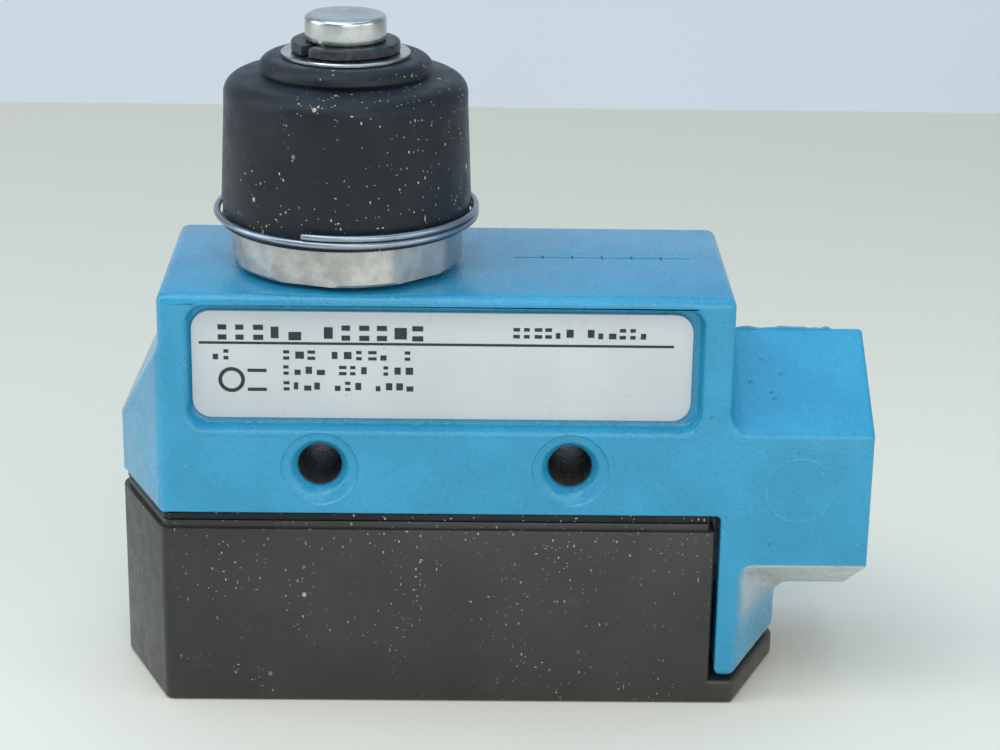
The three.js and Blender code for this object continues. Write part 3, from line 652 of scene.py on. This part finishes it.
# ------------------------------------------------------------------ stage
def stage_piece(name, bm, material):
    bmesh.ops.scale(bm, vec=(MM, MM, MM), verts=bm.verts)
    mesh = bpy.data.meshes.new(name)
    bm.to_mesh(mesh)
    bm.free()
    mesh.materials.append(material)
    obj = bpy.data.objects.new(name, mesh)
    bpy.context.scene.collection.objects.link(obj)


def set_stage():
    back = 325
    table = block(-900, 900, -700, back, -12, 0)
    soften(table, lambda e: plane_at("y", back)(e) and level(0)(e), 3, 4)
    # The last colour is painted shade towards the back of the table.
    stage_piece("floor", table, floor_finish("floor", (0.93, 0.88, 0.78), (0.88, 0.83, 0.73), 160,
                                              (0.70, 0.64, 0.53)))
    wall = block(-2000, 2000, 900, 920, -600, 1500)
    stage_piece("backdrop", wall, floor_finish("backdrop", (0.60, 0.64, 0.68), (0.57, 0.61, 0.65), 400))


# ------------------------------------------------------------------ housing
def hexagon_prism(r, x0, x1):
    points = [(r * math.cos(a), HUB_Z + r * math.sin(a))
              for a in (math.radians(30 + 60 * i) for i in range(6))]
    return prism(points, x0, x1, "X")


def nose_wedge():
    bm = prism([(BODY_LEFT + 4, FRONT), (BODY_LEFT, FRONT), (NOSE_CORNER, 0), (BODY_LEFT, BACK),
                (BODY_LEFT + 4, BACK)], PARTING - 3, NOSE_TOP + 4)
    run = Vector((BODY_LEFT - NOSE_TIP[0], 0, NOSE_TOP - NOSE_TIP[1])).normalized()
    return sliced(bm, (BODY_LEFT, 0, NOSE_TOP), (-run.z, 0, run.x))


def casting_radius(edge):
    """Rounding of each outside edge of the casting, by where the edge lies."""
    a, b = (v.co for v in edge.verts)
    middle, way = (a + b) / 2, (b - a).normalized()
    upright, inward = abs(way.z) > 0.99, not edge.is_convex
    if inward:
        if middle.x > BODY_RIGHT - 0.1 and middle.z > HUB_Z:
            return 2.0
        return 1.6 if middle.x > ARM_FRONT - 0.1 else 0.7
    if abs(middle.z - TOP) < 0.1:
        return 1.3
    if upright and middle.x < BODY_LEFT + 0.1:
        return 1.3 if abs(middle.y) < 1 else 1.5
    if upright and abs(middle.x - BODY_RIGHT) < 0.1:
        return 1.2
    if upright and middle.x > ARM_FRONT - 0.1:
        return 1.2 if abs(middle.y) < 1 else 0.7
    if abs(middle.z - ARM_BOTTOM) < 0.1:
        return 1.3
    if abs(middle.x - ARM_LEFT) < 0.1 or abs(middle.z - PARTING) < 0.1:
        return 0.3
    return 0.55


def housing_outside():
    """Body, nose, hub and arm joined sharp, trimmed at the parting line, then every edge rounded."""
    body = block(BODY_LEFT, BODY_RIGHT, FRONT, BACK, PARTING - 3, TOP)
    arm = prism([(ARM_LEFT - 1.5, FRONT), (ARM_FRONT, FRONT), (ARM_CORNER, 0), (ARM_FRONT, BACK),
                 (ARM_LEFT - 1.5, BACK)], ARM_BOTTOM, HUB_Z)
    body = joined(body, nose_wedge(), hexagon_prism(HUB_R, BODY_RIGHT - 3, HUB_END), arm)
    body = cut(body, block(-70, ARM_LEFT, -30, 30, -10, PARTING))
    bmesh.ops.dissolve_limit(body, angle_limit=0.01, verts=body.verts, edges=body.edges,
                             delimit=set())
    return rounded_by(body, casting_radius, 5)


def chambers():
    upper = block(-41.2, 29.0, -12.4, 12.4, 38.0, 55.3)
    lower = block(-41.2, 28.4, -13.9, 13.9, PARTING - 1, 38.6)
    passage = block(27.0, HUB_BORE_END + 1, -8.2, 8.2, PARTING + 0.2, 39.2)
    inside = joined(upper, lower, passage)
    for x in HOLE_X:
        inside = cut(inside, rod(BOSS_R, -18, 18, (x, 0, HOLE_Z), "Y"))
    for x in SWITCH_HOLES:
        inside = cut(inside, block(x - LUG_HALF, x + LUG_HALF, LUG_DEPTH[0], 20, 20, LUG_TOP))
    return inside


def conduit_thread():
    """Negative of the hub's bore: shallow rounded thread turns and a flared mouth."""
    profile = [(0, HUB_BORE_END), (HUB_BORE - 0.5, HUB_BORE_END)]
    for i in range(7):
        x = HUB_BORE_END + 1.2 + i * 1.7
        profile += [(HUB_BORE - 0.4, x - 0.75), (HUB_BORE + 0.28, x - 0.1), (HUB_BORE + 0.28, x + 0.1)]
    profile += [(HUB_BORE - 0.1, HUB_END - 1.1), (HUB_BORE + 0.9, HUB_END + 0.1), (0, HUB_END + 0.1)]
    return turned(profile, (0, 0, HUB_Z), "X", 72)


def hole_mouths(x):
    """Negative of a cross hole: plain bore, a sunk mouth and a shallow dished ring on each face."""
    half = [(5.2, -17.5), (5.2, -16.5), (4.95, -16.24), (4.1, -16.1), (3.82, -15.95), (3.5, -15.4),
            (3.1, -14.95), (HOLE_R, -14.5)]
    profile = [(0, -17.5)] + half + [(r, -h) for r, h in reversed(half)] + [(0, 17.5)]
    return turned(profile, (x, 0, HOLE_Z), "Y", 64)


def recess():
    """Negative of the nameplate's seat, narrowing towards its floor."""
    r = RECESS
    bm = prism([(r["x0"], r["z0"]), (r["x1"], r["z0"]), (r["x1"], r["z1"]), (r["x0"], r["z1"])],
               FRONT - 1, FRONT + r["depth"], "Y")
    soften(bm, runs("Y"), 2.6, 8)
    floor = [v for v in bm.verts if v.co.y > FRONT]
    middle = Vector(((r["x0"] + r["x1"]) / 2, 0, (r["z0"] + r["z1"]) / 2))
    bmesh.ops.translate(bm, verts=floor, vec=-middle)
    bmesh.ops.scale(bm, verts=floor, vec=(0.979, 1, 0.925))
    bmesh.ops.translate(bm, verts=floor, vec=middle + Vector((0, 0, 0.25)))
    soften(bm, plane_at("y", FRONT + r["depth"]), 0.5, 3)
    return bm


def in_front(edge, x0, x1, z0, z1):
    """Edges lying in the front face inside the given window."""
    return all(abs(v.co.y - FRONT) < 0.01 and x0 < v.co.x < x1 and z0 < v.co.z < z1 for v in edge.verts)


def crest_flash():
    """Thin wavy ridge left by the mould's joint along the hub's crest."""
    rng = random.Random(12)
    crest = HUB_Z + HUB_R
    along = [33.2 + 0.8 * i for i in range(18)]
    top = []
    for i, x in enumerate(along):
        rise = 0.42 * rng.random() ** 1.4 if 0 < i < 17 else -0.1
        top.append((x, crest - 0.12 + rise))
    ridge = prism([(along[0], crest - 1.2)] + top + [(along[-1], crest - 1.2)], -0.32, 0.32, "Y")
    return soften(ridge, lambda e: runs("Y")(e) and e.verts[0].co.z > crest - 1, 0.25, 2)


def top_mark():
    """Negative of the ruled line cut in the top face, with short ticks across it."""
    m = TOP_MARK
    low = TOP - m["depth"]
    cutter = block(m["x0"], m["x1"], m["y0"], m["y1"], low, TOP + 1)
    for i in range(1, 6):
        x = m["x0"] + (m["x1"] - m["x0"]) * i / 6
        tick = block(x - 0.13, x + 0.13, m["y0"] - 0.7, m["y1"] + 0.7, low + HAIR, TOP + 0.9)
        cutter = joined(cutter, tick)
    return cutter


def housing_casting():
    body = joined(housing_outside(), crest_flash())
    body = cut(body, recess())
    rim = [e for e in body.edges if in_front(e, -41.5, 29.5, 38.8, 57.6)]
    bmesh.ops.bevel(body, geom=rim, offset=0.45, offset_type="OFFSET", segments=4, profile=0.5,
                    affect="EDGES", material=-1)
    body = cut(body, chambers())
    for x in SWITCH_HOLES:
        body = joined(body, block(x - LUG_HALF, x + LUG_HALF, *LUG_DEPTH, LUG_FOOT, HUB_Z))
    body = cut(body, conduit_thread(), *(hole_mouths(x) for x in HOLE_X))
    for x in SWITCH_HOLES:
        body = cut(body, rod(LUG_BORE, 8, 15, (x, 0, SWITCH_HOLE_Z), "Y", 24))
    body = cut(body, rod(9.4, 50, 60, (AXIS_X, 0, 0)), rod(1.8, 20, 36.5, (CAPTIVE_X[0], 0, 0), steps=24),
               rod(1.8, 0, 17, (CAPTIVE_X[1], 0, 0), steps=24),
               rod(1.9, 12, 15.2, (EARTH[0], 0, EARTH[1]), "Y", 24), top_mark())
    finished("housing_casting", body, FINISHES["blue_paint"], "housing", ("housing",))


# ------------------------------------------------------------------ cover
def pointed_plan(inset=0.0):
    slope = (BODY_LEFT - NOSE_TIP[0]) / BACK
    back = inset * (math.hypot(1, slope) - slope)
    y = BACK - inset
    tip = NOSE_CORNER + inset * math.hypot(1, slope)
    return [(BODY_LEFT + back, -y), (COVER_RIGHT - inset, -y), (COVER_RIGHT - inset, y),
            (BODY_LEFT + back, y), (tip, 0)]


def pointed_block(inset, low, high, round_tip=1.3):
    bm = prism(pointed_plan(inset), low, high)
    tip = pointed_plan(inset)[4][0]
    soften(bm, runs("Z", x=tip), round_tip, 6)
    soften(bm, lambda e: runs("Z")(e) and e.verts[0].co.x > tip + 3, 0.7, 4)
    return bm


def black_cover_shell():
    shell = pointed_block(0, 0, COVER_TOP - 1.0)
    soften(shell, level(0), 0.7, 4)
    soften(shell, level(COVER_TOP - 1.0), 0.15, 2)
    front, back = FRONT + HAIR, BACK - HAIR
    flange = prism([(COVER_RIGHT - 3, front), (ARM_FRONT, front), (ARM_CORNER, 0), (ARM_FRONT, back),
                    (COVER_RIGHT - 3, back)], HAIR, FLANGE_TOP)
    soften(flange, runs("Z", x=ARM_CORNER), 1.3, 6)
    soften(flange, runs("Z", x=ARM_FRONT), 0.5, 4)
    soften(flange, level(HAIR), 0.7, 4)
    soften(flange, level(FLANGE_TOP), 0.5, 3)
    rim = pointed_block(RIM_INSET, 10, COVER_TOP)
    soften(rim, level(COVER_TOP), 0.2, 2)
    body = joined(shell, flange, rim)
    body = cut(body, pointed_block(COVER_WALL, COVER_FLOOR, COVER_TOP + 1, 0.8))
    post = rod(POST_R, 1, COVER_TOP, (CAPTIVE_X[0], 0, 0))
    body = joined(body, post)
    body = cut(body, rod(2.3, -1, COVER_TOP + 1, (CAPTIVE_X[0], 0, 0), steps=32),
               rod(2.3, -1, FLANGE_TOP + 1, (CAPTIVE_X[1], 0, 0), steps=32))
    for x in CAPTIVE_X:
        body = cut(body, turned([(0, -1), (4.0, -1), (4.0, -0.01), (3.7, 0.3), (3.7, 2.2), (0, 2.2)],
                                (x, 0, 0), steps=40))
    finished("cover_shell", body, FINISHES["black_cover"], "cover", ("cover",))


def gasket():
    band = pointed_block(0.5, GASKET_LOW.z, GASKET_HIGH.z)
    soften(band, lambda e: level(GASKET_LOW.z)(e) or level(GASKET_HIGH.z)(e), 0.3, 3)
    band = cut(band, pointed_block(2.3, 20, 30, 0.6))
    band = joined(band, rod(POST_R, GASKET_LOW.z, GASKET_HIGH.z, (CAPTIVE_X[0], 0, 0)))
    band = cut(band, rod(2.4, 20, 30, (CAPTIVE_X[0], 0, 0)))
    finished("gasket_band", band, FINISHES["black_rubber"], "cover", ("cover_gasket",))


# ------------------------------------------------------------------ plunger group
def boot():
    """Moulded boot: lip under the wire, straight skirt, round shoulder, neck and crown."""
    x, top, foot = AXIS_X, BOOT_HIGH.z, BOOT_LOW.z
    outer = [(15.5, foot), (16.8, foot), (16.8, foot + 0.3), (16.55, foot + 0.6), (16.55, 66.8),
             (16.7, 67.6), (16.45, 74), (16.2, 80)]
    outer += arc((13.9, 81.5), 2.3, 0, 88, 8) + [(12.3, 84.0), (11.2, 84.15), (11.0, 84.35), (11.25, 84.6)]
    outer += arc((9.9, 84.75), 1.65, 0, 90, 7) + [(8.6, top), (5.75, top)]
    inner = [(5.75, top - 1.6), (10.7, top - 1.6), (10.7, 82.5), (13.7, 82.3), (14.4, 81.6), (14.6, 69.0),
             (15.7, 67.8), (15.5, 65.2)]
    bm = turned(outer + inner, (x, 0, 0), steps=112)
    piece = finished("boot", bm, FINISHES["black_rubber"], "housing",
                     ("plunger_boot",), angle=60, rides=False)
    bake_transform(piece, "housing", "plunger", start=(x * MM, 0, 66 * MM), end=(x * MM, 0, 84 * MM))


def coiled_wire(ring, wire, z_from, z_to, start, turns, per_turn, sides):
    """Round wire wound about the plunger's axis, with closed and softened ends."""
    bm = bmesh.new()
    bmesh.ops.create_circle(bm, segments=sides, radius=wire)
    bmesh.ops.rotate(bm, verts=bm.verts, cent=(0, 0, 0), matrix=Matrix.Rotation(math.pi / 2, 3, "X"))
    bmesh.ops.translate(bm, verts=bm.verts, vec=(ring, 0, z_from))
    bmesh.ops.rotate(bm, verts=bm.verts, cent=(0, 0, 0), matrix=Matrix.Rotation(math.radians(start), 3, "Z"))
    steps = round(turns * per_turn)
    bmesh.ops.spin(bm, geom=bm.verts[:] + bm.edges[:], cent=(0, 0, 0), axis=(0, 0, 1),
                   dvec=(0, 0, (z_to - z_from) / steps), angle=turns * 2 * math.pi, steps=steps,
                   use_merge=False, use_duplicate=False)
    ends = [e for e in bm.edges if e.is_boundary]
    bmesh.ops.holes_fill(bm, edges=ends)
    bmesh.ops.bevel(bm, geom=ends, offset=wire * 0.27, offset_type="OFFSET", segments=2, profile=0.5,
                    affect="EDGES", material=-1)
    bmesh.ops.recalc_face_normals(bm, faces=bm.faces)
    bmesh.ops.translate(bm, verts=bm.verts, vec=(AXIS_X, 0, 0))
    return bm


def clamp_wire():
    """One and a half turns of round wire, its free end at the front."""
    ring, drop = 17.35, 1.4
    wire = (WIRE_HIGH.x - WIRE_LOW.x) / 2 - ring
    upper = WIRE_HIGH.z - wire - 0.02
    bm = coiled_wire(ring, wire, upper, upper - drop, -107, 1.47, 96, 14)
    finished("clamp_wire", bm, FINISHES["spring_wire"], "housing",
             ("boot_clamp_wire",), angle=50)


def pressed_spring(name, node, ring, wire, low, high, start, seat, head):
    """Coil spring that shortens as the plunger is pressed."""
    bm = coiled_wire(ring, wire, low, high, start, COIL_TURNS, 40, 10)
    piece = finished(name, bm, FINISHES["spring_wire"], "housing", (node,), angle=50,
                     rides=False)
    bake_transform(piece, "housing", "plunger", start=(AXIS_X * MM, 0, seat * MM), end=(AXIS_X * MM, 0, head * MM))


def plunger_button():
    r, top = PLUNGER_R, PLUNGER_HIGH.z
    profile = [(0, 80), (3.4, 80), (3.4, 48.6), (7.2, 48.6), (7.2, 50.2), (r, 50.4), (r, 86.9), (4.7, 87.0),
               (4.7, 88.6)] + arc((r - 0.2, 88.8), 0.2, -90, 0, 3)
    profile += arc((r - 0.6, top - 0.6), 0.6, 0, 90, 6) + [(3.0, top), (0, top)]
    finished("plunger_button", turned(profile, (AXIS_X, 0, 0), steps=80), FINISHES["bright_zinc"],
             "plunger", ("plunger",))


def split_ring():
    low, high, r = RING_LOW.z, RING_HIGH.z, 7.2
    ring = turned([(5.0, low)] + arc((r - 0.2, low + 0.2), 0.2, -90, 0, 3)
                  + arc((r - 0.3, high - 0.3), 0.3, 0, 90, 4) + [(5.0, high)], (AXIS_X, 0, 0), steps=80)
    notch = prism([(AXIS_X, 0), (AXIS_X - 9, -7.2), (AXIS_X - 7.4, -9)], low - 1, high + 1)
    finished("split_ring", cut(ring, notch), FINISHES["dark_steel"], "plunger",
             ("retaining_ring",))


def crown_washer():
    low, high, r = WASHER_LOW.z, WASHER_HIGH.z, 8.55
    profile = [(5.7, low), (r - 0.1, low), (r, low + 0.1), (r, high - 0.12), (r - 0.12, high), (5.7, high)]
    finished("crown_washer", turned(profile, (AXIS_X, 0, 0), steps=80), FINISHES["bright_zinc"],
             "plunger", ("boot_washer",))


def bushing():
    """Hexagonal foot with turned corners, collar, neck and threaded stem."""
    af, turned_r, hex_top, seat, collar_r = 29.8, 15.6, 64.2, 67.0, 14.2
    foot = BUSHING_LOW.z
    base = TOP + 0.75
    hexagon = [(AXIS_X + af / math.sqrt(3) * math.cos(a), af / math.sqrt(3) * math.sin(a))
               for a in (math.radians(HEX_TURN - 90 + 60 * i) for i in range(6))]
    flats = prism(hexagon, base, hex_top)
    round_off = turned([(0, base), (turned_r - 0.3, base), (turned_r, base + 0.4), (turned_r, hex_top),
                        (0, hex_top)], (AXIS_X, 0, 0), steps=96)
    body = combined(flats, round_off, "INTERSECT")
    collar = turned([(0, hex_top - 1), (collar_r, hex_top - 1), (collar_r, 65.0), (15.2, 65.6), (15.2, seat),
                     (14.7, seat + 0.5), (7.6, seat + 0.5), (7.6, 76), (7.1, 76.5), (0, 76.5)],
                    (AXIS_X, 0, 0), steps=72)
    profile = [(0, foot)]
    for i in range(6):
        z = foot + 0.4 + i * 1.1
        profile += [(8.7, z), (9.1, z + 0.45), (9.1, z + 0.6)]
    profile += [(8.8, 58.0), (8.8, base + 1), (0, base + 1)]
    stem = turned(profile, (AXIS_X, 0, 0), steps=72)
    body = joined(body, collar, stem)
    body = cut(body, rod(5.75, 40, 80, (AXIS_X, 0, 0)))
    finished("bushing", body, FINISHES["bare_casting"], "housing", ("plunger_bushing",))


# ------------------------------------------------------------------ nameplate
def rounded_plate(x0, x1, z0, z1, y_front, y_back, r, steps=8):
    bm = prism([(x0, z0), (x1, z0), (x1, z1), (x0, z1)], y_front, y_back, "Y")
    return soften(bm, runs("Y"), r, steps)


def nameplate():
    plate = rounded_plate(LABEL_LOW.x, LABEL_HIGH.x, LABEL_LOW.z, LABEL_HIGH.z, LABEL_LOW.y,
                          LABEL_HIGH.y, 2.5)
    soften(plate, plane_at("y", LABEL_LOW.y), 0.08, 2)
    finished("label_plate", plate, FINISHES["label_film"], "housing", ("nameplate",))


PRINT_LINES = (
    # left, right, low, high, words as numbers of marks, seed
    (-35.9, -8.2, 51.75, 53.85, (5, 6), 3),
    (2.7, 20.8, 52.3, 53.75, (6, 6), 5),
    (-36.6, -33.8, 49.0, 50.4, (2,), 8),
    (-27.4, -9.9, 49.05, 50.35, (3, 5, 1), 13),
    (-27.4, -9.9, 46.95, 48.25, (4, 3, 3), 21),
    (-27.4, -9.9, 44.75, 46.05, (4, 3, 4), 34),
)


def append(bm, part):
    mesh = bpy.data.meshes.new("print")
    part.to_mesh(mesh)
    part.free()
    bm.from_mesh(mesh)
    bpy.data.meshes.remove(mesh)


def add_bar(bm, x0, x1, z0, z1, y):
    append(bm, prism([(x0, z0), (x1, z0), (x1, z1), (x0, z1)], y - 0.02, y, "Y"))


def add_mark(bm, x0, x1, z0, z1, kind, y):
    """One plain mark: a full block, a low block or two stacked blocks, none of them a letter."""
    tall = z1 - z0
    if kind == 0:
        add_bar(bm, x0, x1, z0 + tall * 0.12, z1 - tall * 0.12, y)
    elif kind == 1:
        add_bar(bm, x0, x1, z0, z0 + tall * 0.55, y)
    else:
        add_bar(bm, x0, x1, z0, z0 + tall * 0.34, y)
        add_bar(bm, x0, x1, z1 - tall * 0.34, z1, y)


def label_print():
    """Generic print: rows of plain marks, one ruled line, and a ring with two bars."""
    y = LABEL_LOW.y - 0.01
    bm = bmesh.new()
    add_bar(bm, -38.4, 23.8, 51.15, 51.5, y)
    for x0, x1, z0, z1, words, seed in PRINT_LINES:
        rng = random.Random(seed)
        pitch = (x1 - x0) / (sum(words) + len(words) - 1)
        left = x0
        for count in words:
            for _ in range(count):
                add_mark(bm, left, left + pitch * rng.uniform(0.42, 0.74), z0, z1, rng.randrange(3), y)
                left += pitch
            left += pitch
    append(bm, turned([(1.25, -0.02), (1.75, -0.02), (1.75, 0), (1.25, 0)], (-34.2, y, 46.2), "Y", 40))
    add_bar(bm, -32.1, -29.6, 47.3, 47.75, y)
    add_bar(bm, -32.1, -29.6, 44.65, 45.1, y)
    finished("label_print", bm, INK, "housing")


# ------------------------------------------------------------------ frame nodes that stay
def dress_frame():
    slots = {entry["node"]: entry["material_slot"] for entry in frame["record"]["subparts"]}
    for name, obj in frame["nodes"].items():
        obj.data.materials.clear()
        obj.data.materials.append(FINISHES[slots[name]])


make_camera()
make_lights()
set_stage()
dress_frame()
housing_casting()
black_cover_shell()
gasket()
boot()
clamp_wire()
pressed_spring("return_coil", "return_spring", 9.0, 0.55, 68.15, 82.95, 20, 67.5, 83.6)
pressed_spring("overtravel_coil", "overtravel_spring", 2.45, 0.38, 70.6, 79.5, 0, 70.2, 79.9)
plunger_button()
split_ring()
crown_washer()
bushing()
nameplate()
label_print()
